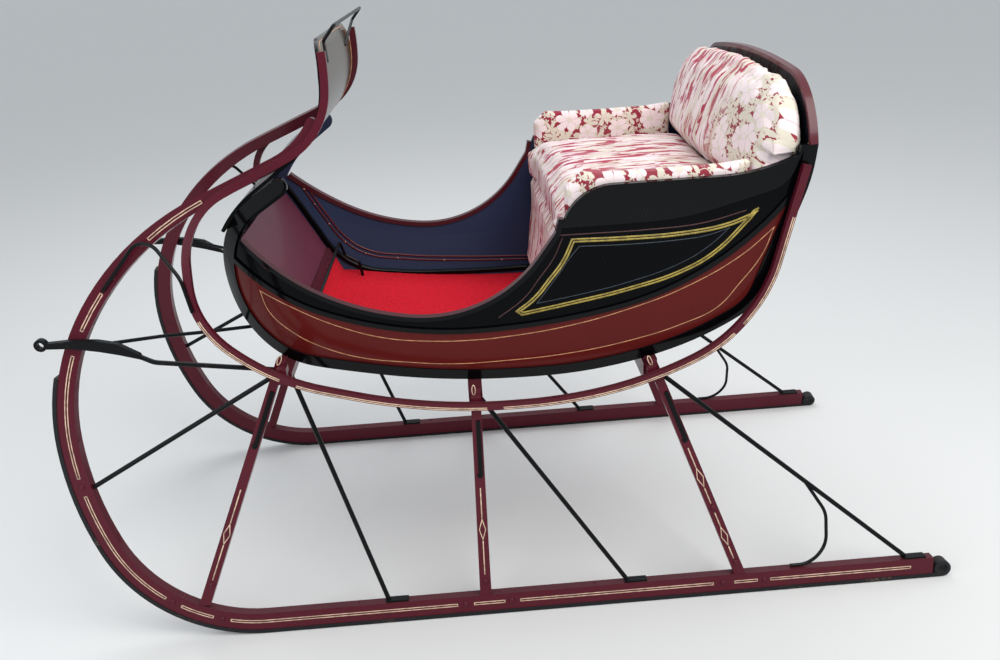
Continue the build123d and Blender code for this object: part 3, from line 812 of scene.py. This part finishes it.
clothInputs = [("Across", "Float"), ("Along", "Float"),
               ("Ground", "Color"), ("Petal", "Color"), ("Leaf", "Color"), ("Line", "Color")]


# Masks of a motif: its inside, its ribs and its heart
def drawMotif(tree, drawn, fullness, scale, shift, lobes, low, size):
    s = printSet
    place = calcVector(tree, "ADD", drawn, shift)
    cell = add(tree, "TexVoronoi", {"Vector": place, "Scale": scale, "Randomness": s["scatter"]},
               voronoi_dimensions="2D").outputs
    away = calcVector(tree, "SUBTRACT", place, cell["Position"])
    parts = axesOf(tree, away)
    chance = add(tree, "SeparateColor", {0: cell["Color"]}).outputs
    angle = calc(tree, "ARCTAN2", parts[1], parts[0])
    angle = calc(tree, "MULTIPLY_ADD", chance[0], s["fullTurn"], angle)
    wave = calc(tree, "ABSOLUTE", calc(tree, "COSINE", times(tree, angle, lobes / 2)))
    edge = calc(tree, "MULTIPLY_ADD", wave, 1 - low, low)
    reach = times(tree, calc(tree, "MULTIPLY_ADD", chance[1], *s["sizes"]), size)
    edge = times(tree, times(tree, edge, reach), fullness)
    far = add(tree, "VectorMath", {0: away}, operation="LENGTH").outputs["Value"]
    inside = rampBetween(tree, calc(tree, "SUBTRACT", edge, far), 0.0, s["edge"])
    rib = rampBetween(tree, wave, *s["rib"])
    heart = rampBetween(tree, far, *(size * share for share in s["heart"]))
    return inside, rib, heart


def makeFloralCloth():
    s = printSet
    tree, given, out = startGroup("floralCloth", clothInputs + [("Fullness", "Float")],
                                  [("Colour", "Color"), ("Weave", "Float")])
    ground, petal, leaf, line = (given[name] for name in ("Ground", "Petal", "Leaf", "Line"))
    flat = add(tree, "CombineXYZ", {0: given["Across"], 1: given["Along"]}).outputs[0]
    drift = add(tree, "TexNoise", {"Vector": flat, "Scale": s["driftScale"], "Detail": 2.0}).outputs["Color"]
    drift = calcVector(tree, "SUBTRACT", drift, (0.5, 0.5, 0.5))
    drawn = calcVector(tree, "ADD", flat, calcVector(tree, "MULTIPLY", drift, s["drift"]))
    masks = [drawMotif(tree, drawn, given["Fullness"], *motif) for motif in printMotifs.values()]
    (flower, petalRib, heart), (leaves, leafRib, _), (sprigs, _, _) = masks
    stem = calc(tree, "ABSOLUTE", calc(tree, "SUBTRACT", noiseAt(tree, drawn, s["stemScale"], 0.0), 0.5))
    green = calc(tree, "MAXIMUM", sprigs, rampBetween(tree, stem, *s["stem"]))
    colour = blendColour(tree, green, ground, leaf)
    leafColour = blendColour(tree, leafRib, leaf, line, s["leafRibShows"])
    colour = blendColour(tree, leaves, colour, leafColour)
    petalColour = blendColour(tree, petalRib, petal, line, s["petalRibShows"])
    petalColour = blendColour(tree, heart, petalColour, leaf, s["heartShows"])
    colour = blendColour(tree, flower, colour, petalColour)
    threads = [add(tree, "TexWave", {"Vector": flat, **s["weave"]}, bands_direction=way).outputs[1]
               for way in ("X", "Y")]
    wire(tree, out, {"Colour": colour, "Weave": calc(tree, "ADD", *threads)})
    return tree


# Across and along the cloth, so many times a metre
def stretched(tree, across, along, perAcross, perAlong, shift=0.0):
    x, y = times(tree, across, perAcross), times(tree, along, perAlong)
    return add(tree, "CombineXYZ", {0: x, 1: y, 2: shift}).outputs[0]


# Where the same cotton is gathered, the print closes up into long streaks
streakSet = {
    # colour: streaks per metre across and along, shift of their pattern, ramp, how much they show
    "Leaf": (30.0, 6.0, 4.0, (0.45, 0.60), 1.0),
    "Line": (95.0, 12.0, 9.0, (0.52, 0.62), 0.55),
    "Ground": (46.0, 9.5, 0.0, (0.520, 0.560), 1.0),
}


def makeStreakCloth():
    tree, given, out = startGroup("streakCloth", clothInputs, [("Colour", "Color")])
    colour = given["Petal"]
    for name, (perAcross, perAlong, shift, limits, share) in streakSet.items():
        place = stretched(tree, given["Across"], given["Along"], perAcross, perAlong, shift)
        streaks = rampBetween(tree, noiseAt(tree, place, 1.0, 3.0, 0.6, 0.7), *limits)
        colour = blendColour(tree, streaks, colour, given[name], share)
    wire(tree, out, {"Colour": colour})
    return tree


floralCloth = makeFloralCloth()
streakCloth = makeStreakCloth()

clothColours = {
    "Ground": chart("941a34"),
    "Petal": chart("f2e2e2"),
    "Leaf": chart("dfd6c4"),
    "Line": chart("c895a0"),
}
clothSet = {
    "pulledGround": chart("ac2444"),  # the ground between the streaks
    "strayScale": 9.0,
    "stray": 0.16,  # how far the edge of the gathers wanders, in metres
    "folds": (120.0, 6.0),  # per metre, across and along
    # painted shade that darkens the hollows of the gathered folds: its ramp, colour and strength
    "paintedFoldShade": (0.44, 0.28),  # of the folds
    "foldShadeColour": chart("9a8490"),
    "foldShadeShows": 0.35,
    "soilScale": 11.0,
    "soil": (0.45, 0.75),
    "soilColour": chart("b9a9a6"),
    "soilShows": 0.12,
    "weaveBump": (0.12, 0.0006),  # strength and height in metres
    "foldBump": (0.55, 0.006),
    "finish": {"Roughness": 0.85, "Sheen Weight": 0.15, "Sheen Roughness": 0.5},
}


# From the first Y of "plain" to the second the gathers give way to the flat print of the near side
def makeCloth(name, alongAxes, acrossAxis=1, gathered=True, plain=(9.0, 9.1), fullness=1.0):
    s = clothSet
    mat, tree, shader, where = startMaterial(name)
    place = axesOf(tree, where)
    across = place[acrossAxis]
    forward, up = (times(tree, place[axis], share) for axis, share in zip((0, 2), alongAxes))
    along = calc(tree, "ADD", forward, up)
    given = {"Across": across, "Along": along, **clothColours}
    cloth = placeGroup(tree, floralCloth, {**given, "Fullness": fullness})
    colour, depth = cloth["Colour"], 0.0
    if gathered:
        pulled = placeGroup(tree, streakCloth, {**given, "Ground": s["pulledGround"]})
        edge = noiseAt(tree, where, s["strayScale"], 2.0)
        edge = calc(tree, "MULTIPLY_ADD", edge, s["stray"], calc(tree, "ADD", across, -s["stray"] / 2))
        flat = rampBetween(tree, edge, *plain)
        colour = blendColour(tree, flat, pulled["Colour"], colour)
        fold = noiseAt(tree, stretched(tree, across, along, *s["folds"]), 1.0, 2.0)
        depth = times(tree, fold, calc(tree, "SUBTRACT", 1.0, flat))
        # the hollows of the folds get a painted shade where the cloth is gathered
        foldShadeAmount = calc(tree, "MULTIPLY_ADD", flat, -s["foldShadeShows"], s["foldShadeShows"])
        paintedFoldShade = times(tree, rampBetween(tree, fold, *s["paintedFoldShade"]), foldShadeAmount)
        colour = blendColour(tree, paintedFoldShade, colour, s["foldShadeColour"])
    soil = rampBetween(tree, noiseAt(tree, where, s["soilScale"], 5.0), *s["soil"])
    colour = blendColour(tree, soil, colour, s["soilColour"], s["soilShows"])
    weave = bumpOf(tree, *s["weaveBump"], cloth["Weave"])
    bump = bumpOf(tree, *s["foldBump"], depth, Normal=weave)
    wire(tree, shader, {"Base Color": colour, "Normal": bump, **s["finish"]})
    return mat


clothOfSeat = makeCloth("clothOfSeat", (1.0, -1.0), plain=(0.33, 0.36))
clothOfBack = makeCloth("clothOfBack", (-0.6, 1.0), plain=(0.12, 0.20))
clothOfArms = makeCloth("clothOfArms", (0.0, 1.0), acrossAxis=0, gathered=False, fullness=0.80)


# A packed soft solid is copied, its doubles merged, and moved a little inwards to leave room to swell
def copyOfNode(name, inset):
    bm = bmesh.new()
    bm.from_mesh(nodes[name].data)
    bmesh.ops.remove_doubles(bm, verts=bm.verts[:], dist=1e-5)
    bm.normal_update()
    low, high = cornersOf(name)
    middle, size = (low + high) / 2, high - low
    for v in bm.verts:
        for i in range(3):
            v.co[i] = middle[i] + (v.co[i] - middle[i]) * (1 - 2 * inset / size[i])
    return bm


def bakeModifiers(piece):
    made = bpy.data.meshes.new_from_object(piece.evaluated_get(bpy.context.evaluated_depsgraph_get()))
    piece.modifiers.clear()
    piece.data = made


# A piece is brought to the size of a packed one, plus what it is grown by
def fitTo(piece, name, grown=0.0, behind=0.0, below=0.0, above=0.0):
    low, high = cornersOf(name)
    low = low - Vector((behind, 0, below))
    high = high + Vector((0, 0, above))
    for axis in range(3):
        places = [v.co[axis] for v in piece.data.vertices]
        least, most = min(places), max(places)
        grow = (high[axis] - low[axis] + 2 * grown) / (most - least)
        for v in piece.data.vertices:
            v.co[axis] = low[axis] - grown + (v.co[axis] - least) * grow


swellSet = {
    "frames": 20,
    "quality": 4,
    "pressure": 4.0,
    "stretch": 12,
    "bending": 0.4,
}


# Filled covers swell under a little pressure, and no point moves further than "most"
def swell(piece, voxel, most):
    s = swellSet
    remesh = piece.modifiers.new("even", "REMESH")
    remesh.mode = "VOXEL"
    remesh.voxel_size = voxel
    bakeModifiers(piece)
    before = [v.co.copy() for v in piece.data.vertices]
    cloth = piece.modifiers.new("swelling", "CLOTH")
    settings = cloth.settings
    settings.quality = s["quality"]
    settings.use_pressure = True
    settings.uniform_pressure_force = s["pressure"]
    settings.tension_stiffness = settings.compression_stiffness = s["stretch"]
    settings.bending_stiffness = s["bending"]
    settings.effector_weights.gravity = 0
    cloth.point_cache.frame_end = s["frames"]
    for step in range(1, s["frames"] + 1):
        scene.frame_set(step)
    bakeModifiers(piece)
    scene.frame_set(1)
    for v, start in zip(piece.data.vertices, before):
        move = v.co - start
        if move.length > 1e-6:
            v.co = start + move.normalized() * most * math.tanh(move.length / most)
    finer = piece.modifiers.new("finer", "SUBSURF")
    finer.levels = finer.render_levels = 1
    bakeModifiers(piece)
    for face in piece.data.polygons:
        face.use_smooth = True


gatherSet = {
    "wander": (9, 5),  # changes per metre, across and along
    "broad": (7, 6),
    "broadShare": 0.8,  # of the depth
    "ridgeAlong": 5.5,
    "fade": 0.08,  # metres over which the ridges end
}


# Gathers are ridges across the cloth, which wander a little along their length
def gather(piece, depth, pitch, alongAxes, upTo=9.0):
    s = gatherSet
    mesh = piece.data
    normals = [v.normal.copy() for v in mesh.vertices]
    for v, normal in zip(mesh.vertices, normals):
        y = v.co.y
        along = v.co.x * alongAxes[0] + v.co.z * alongAxes[1]
        wander = noise.noise(Vector((y * s["wander"][0], along * s["wander"][1], 3.0)))
        ridge = noise.noise(Vector((y / pitch + wander, along * s["ridgeAlong"], 0.0)))
        broad = noise.noise(Vector((y * s["broad"][0], along * s["broad"][1], 8.0)))
        strength = 1 - min(max((abs(y) - upTo) / s["fade"], 0), 1)
        v.co += normal * (ridge * depth * strength + broad * depth * s["broadShare"])


def startCover(name, solid, material, s):
    piece = finishPiece(name, copyOfNode(solid, s["inset"]), material)
    swell(piece, s["voxel"], s["most"])
    return piece


seatSet = {
    "inset": 0.012,
    "voxel": 0.008,
    "most": 0.024,
    "grown": 0.004,  # past its solid on each side
    "crown": 0.016,  # how far the middle of the top stands up
    "underBack": 0.046,  # how far it reaches under the back pad
    "gatherDepth": 0.0035,
    "gatherPitch": 0.014,
}


def makeCushion():
    s = seatSet
    piece = startCover("seat_cushion", "cushion", clothOfSeat, s)
    fitTo(piece, "cushion", grown=s["grown"], behind=s["underBack"])
    low, high = cornersOf("cushion")
    middle, half = (low + high) / 2, (high - low) / 2
    for v in piece.data.vertices:
        if v.co.z > middle.z:
            side = max(0.0, 1 - ((v.co.y - middle.y) / half.y) ** 2)
            depth = max(0.0, 1 - ((v.co.x - middle.x) / half.x) ** 2)
            v.co.z += s["crown"] * side * (0.5 + 0.5 * depth)
    gather(piece, s["gatherDepth"], s["gatherPitch"], (1.0, -1.0))
    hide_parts("cushion")


backSet = {
    "inset": 0.010,
    "voxel": 0.008,
    "most": 0.022,
    "gatherDepth": 0.004,
    "gatherPitch": 0.016,
    "gatheredTo": 0.20,
    "below": 0.010,
    "bulge": 0.040,  # how far its middle stands forward
    "bulgeAt": (0.30, 0.75),  # middle and reach, as shares of the height
    "spread": 0.018,  # how far its rear edge is spread to fill the arch
    "spreadFrom": 0.40,  # shares of the height
    "spreadOver": 0.25,
    "archMiddle": 0.35,
}


def makeBackPad():
    s = backSet
    piece = startCover("seat_back_pad", "back_pad", clothOfBack, s)
    fitTo(piece, "back_pad", below=s["below"])
    low, high = cornersOf("back_pad")
    middle, reach = s["bulgeAt"]
    for v in piece.data.vertices:
        up = (v.co.z - low.z) / (high.z - low.z)
        side = max(0.0, 1 - (v.co.y / high.y) ** 2)
        front = (v.co.x - low.x) / (high.x - low.x)
        out = Vector((0, v.co.y / high.y, up - s["archMiddle"]))
        if out.length > 0:
            rise = min(1.0, max(0.0, (up - s["spreadFrom"]) / s["spreadOver"]))
            v.co += out.normalized() * s["spread"] * (1 - front) * rise * min(1.0, out.length)
        v.co.x += s["bulge"] * front * side * max(0.0, 1 - ((up - middle) / reach) ** 2)
    gather(piece, s["gatherDepth"], s["gatherPitch"], (-0.6, 1.0), s["gatheredTo"])
    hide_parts("back_pad")


armSet = {
    "lowered": 0.012,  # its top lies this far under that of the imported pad
    "inset": 0.005,
    "voxel": 0.005,
    "most": 0.008,
}


def makeArmPads():
    s = armSet
    for side in ("left", "right"):
        piece = startCover(f"arm_cover_{side}", f"arm_pad_{side}", clothOfArms, s)
        fitTo(piece, f"arm_pad_{side}", above=-s["lowered"])
        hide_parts(f"arm_pad_{side}")


fallSet = {
    "cells": (260, 60),
    "clear": 0.008,  # of the breadth, on both sides together
    "taper": (0.088, 1.6),  # of the breadth at the foot, and its power
    "hem": 0.002,  # above the foot of the solid
    "behindFace": 0.002,
    "tucked": 0.030,  # how far its top reaches under the roll
    "tuckedBack": (0.020, 8),  # how far back, over the first eighth of its length
    "ray": (0.5, 0.9, 0.004),  # from ahead, as a share of Y, under the top of the solid
    "foldDeep": 0.006,
    "foldPitch": 0.026,
    "foldAlong": 3.0,
    "foldTop": 0.45,  # share of the depth of the folds at the top
    "wander": (8, 4),
    "thick": 0.0016,
}


def makeFall():
    s = fallSet
    low, high = cornersOf("seat_fall")
    tree = treeOf("seat_fall")
    bm = bmesh.new()
    bmesh.ops.create_grid(bm, x_segments=s["cells"][0], y_segments=s["cells"][1], size=0.5)
    width, length = high.y - low.y, high.z - low.z + s["tucked"]
    taper, power = s["taper"]
    back, part = s["tuckedBack"]
    fromAhead, inward, under = s["ray"]
    for v in bm.verts:
        across, down = v.co.x, 0.5 - v.co.y
        y = across * (width - s["clear"] - taper * down ** power)
        z = high.z + s["tucked"] - down * (length - s["hem"])
        start = Vector((high.x + fromAhead, y * inward, min(z, high.z - under)))
        hit = tree.ray_cast(start, Vector((-1, 0, 0)))[0]
        face = hit.x if hit else low.x
        wander = noise.noise(Vector((y * s["wander"][0], z * s["wander"][1], 1.0)))
        fold = noise.noise(Vector((y / s["foldPitch"] + wander, z * s["foldAlong"], 0.0)))
        deep = s["foldDeep"] * (s["foldTop"] + (1 - s["foldTop"]) * down)
        v.co = Vector((face - s["behindFace"] - back * max(0.0, 1 - down * part) + fold * deep, y, z))
    bmesh.ops.solidify(bm, geom=bm.faces[:], thickness=s["thick"])
    piece = finishPiece("seat_fall_cloth", bm, clothOfSeat)
    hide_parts("seat_fall")


# Carpet with a cut pile, laid on the floor and, with a dark strip, up the foot of the toe board
carpetSet = {
    "cell": 0.008,
    "pile": 0.0012,
    "tuftScale": 420.0,
    "tuft": (0.30, 0.62),
    "trodden": (14.0, 0.12),  # scale, and how much it shows
    "strip": (0.748, 0.752),  # Z from which it is dark
    "stripTuft": (0.35, 0.60),
    "bump": (0.7, 0.002),  # strength and height in metres
    "finish": {"Roughness": 0.95, "Specular IOR Level": 0.1, "Sheen Weight": 0.05, "Sheen Roughness": 0.5},
}


def makeCarpetMaterial():
    s = carpetSet
    mat, tree, shader, where = startMaterial("carpetRed")
    tuft = noiseAt(tree, where, s["tuftScale"], 3.0)
    trodden = noiseAt(tree, where, s["trodden"][0], 5.0)
    colour = blendColour(tree, rampBetween(tree, tuft, *s["tuft"]), chart("b00a1e"), chart("ee1830"))
    colour = blendColour(tree, trodden, colour, chart("d83040"), s["trodden"][1])
    strip = blendColour(tree, rampBetween(tree, tuft, *s["stripTuft"]), chart("2c0a16"), chart("6a2038"))
    colour = blendColour(tree, rampBetween(tree, axesOf(tree, where)[2], *s["strip"]), colour, strip)
    wire(tree, shader, {"Base Color": colour, "Normal": bumpOf(tree, *s["bump"], tuft), **s["finish"]})
    return mat


def makeCarpet():
    s = carpetSet
    bm = copyOfNode("carpet", 0.0)
    low, high = cornersOf("carpet")
    for axis, way in enumerate((Vector((1, 0, 0)), Vector((0, 1, 0)))):
        place = low[axis] + s["cell"]
        while place < high[axis] - s["cell"] / 2:
            geom = bm.verts[:] + bm.edges[:] + bm.faces[:]
            bmesh.ops.bisect_plane(bm, geom=geom, plane_co=way * place, plane_no=way)
            place += s["cell"]
    bm.normal_update()
    for v in bm.verts:
        if v.normal.z > 0.3 or v.normal.x < -0.3:
            v.co += v.normal * (random.random() - 0.5) * s["pile"]
    piece = finishPiece("floor_carpet", bm, makeCarpetMaterial(), smooth=False)
    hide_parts("carpet")


makeCushion()
makeBackPad()
makeArmPads()
makeFall()
makeCarpet()
print("the seat is upholstered and the carpet laid")


# The stage: a pale floor, soft light and the photograph's camera
studio = {
    "floorSize": 80,
    "floorColour": (0.80, 0.80, 0.79, 1.0),
    "floorRough": 0.8,
    "backdrop": (0.455, 0.475, 0.495, 1.0),  # as the floor looks far away, so that no edge shows
    "worldLight": 0.62,
    "worldColour": (0.90, 0.95, 1.0, 1.0),
    "aim": (0, 0, 0.6),
    "lamps": (
        # name, place, size, watts, colour
        ("keyLamp", (-1.6, 2.2, 3.6), 2.6, 95, (1.0, 0.98, 0.95)),
        ("fillLamp", (2.8, 3.0, 2.2), 2.4, 40, (0.93, 0.96, 1.0)),
        ("backLamp", (0.3, -2.0, 4.4), 2.6, 55, (0.96, 0.98, 1.0)),
    ),
}
photoCamera = {
    "focal": 32.4,  # mm
    "sensor": 36,
    "place": (0.0774, 2.3773, 1.6099),  # metres
    "pitch": 0.4042,  # radians down
    "yaw": -0.0255,
    "roll": -0.0666,
}


def addStage():
    s = studio
    bm = bmesh.new()
    bmesh.ops.create_grid(bm, x_segments=1, y_segments=1, size=s["floorSize"])
    mesh = bpy.data.meshes.new("floorSheet")
    bm.to_mesh(mesh)
    bm.free()
    sheet = putInScene("floorSheet", mesh)
    mat, tree, shader, _ = startMaterial("paleFloor")
    wire(tree, shader, {"Base Color": s["floorColour"], "Roughness": s["floorRough"]})
    mesh.materials.append(mat)

    world = bpy.data.worlds.new("studio")
    scene.world = world
    world.use_nodes = True
    tree = world.node_tree
    tree.nodes.clear()
    plain = add(tree, "Background", {0: s["worldColour"], 1: s["worldLight"]})
    seen = add(tree, "Background", {0: s["backdrop"], 1: 1.0})
    path = add(tree, "LightPath")
    shown = calc(tree, "MAXIMUM", path.outputs["Is Camera Ray"], path.outputs["Is Transmission Ray"])
    mix = add(tree, "MixShader", {0: shown, 1: plain.outputs[0], 2: seen.outputs[0]})
    add(tree, "OutputWorld", {0: mix.outputs[0]})

    for name, place, size, watts, colour in s["lamps"]:
        light = bpy.data.lights.new(name, "AREA")
        light.size = size
        light.energy = watts
        light.color = colour
        lamp = putInScene(name, light)
        lamp.location = place
        lamp.rotation_euler = (Vector(s["aim"]) - Vector(place)).to_track_quat("-Z", "Y").to_euler()


def addCamera():
    s = photoCamera
    forward = Vector((math.sin(s["yaw"]) * math.cos(s["pitch"]),
                      -math.cos(s["yaw"]) * math.cos(s["pitch"]), -math.sin(s["pitch"])))
    level = Vector((-math.cos(s["yaw"]), -math.sin(s["yaw"]), 0))
    upright = level.cross(forward)
    right = level * math.cos(s["roll"]) + upright * math.sin(s["roll"])
    top = upright * math.cos(s["roll"]) - level * math.sin(s["roll"])
    turn = Matrix((right, top, -forward)).transposed().to_4x4()
    data = bpy.data.cameras.new("photoCamera")
    data.lens = s["focal"]
    data.sensor_width = s["sensor"]
    camera = putInScene("photoCamera", data)
    camera.matrix_world = Matrix.Translation(Vector(s["place"])) @ turn
    scene.camera = camera


addStage()
addCamera()
scene.view_settings.view_transform = "Standard"
print("stage, light and camera are set")
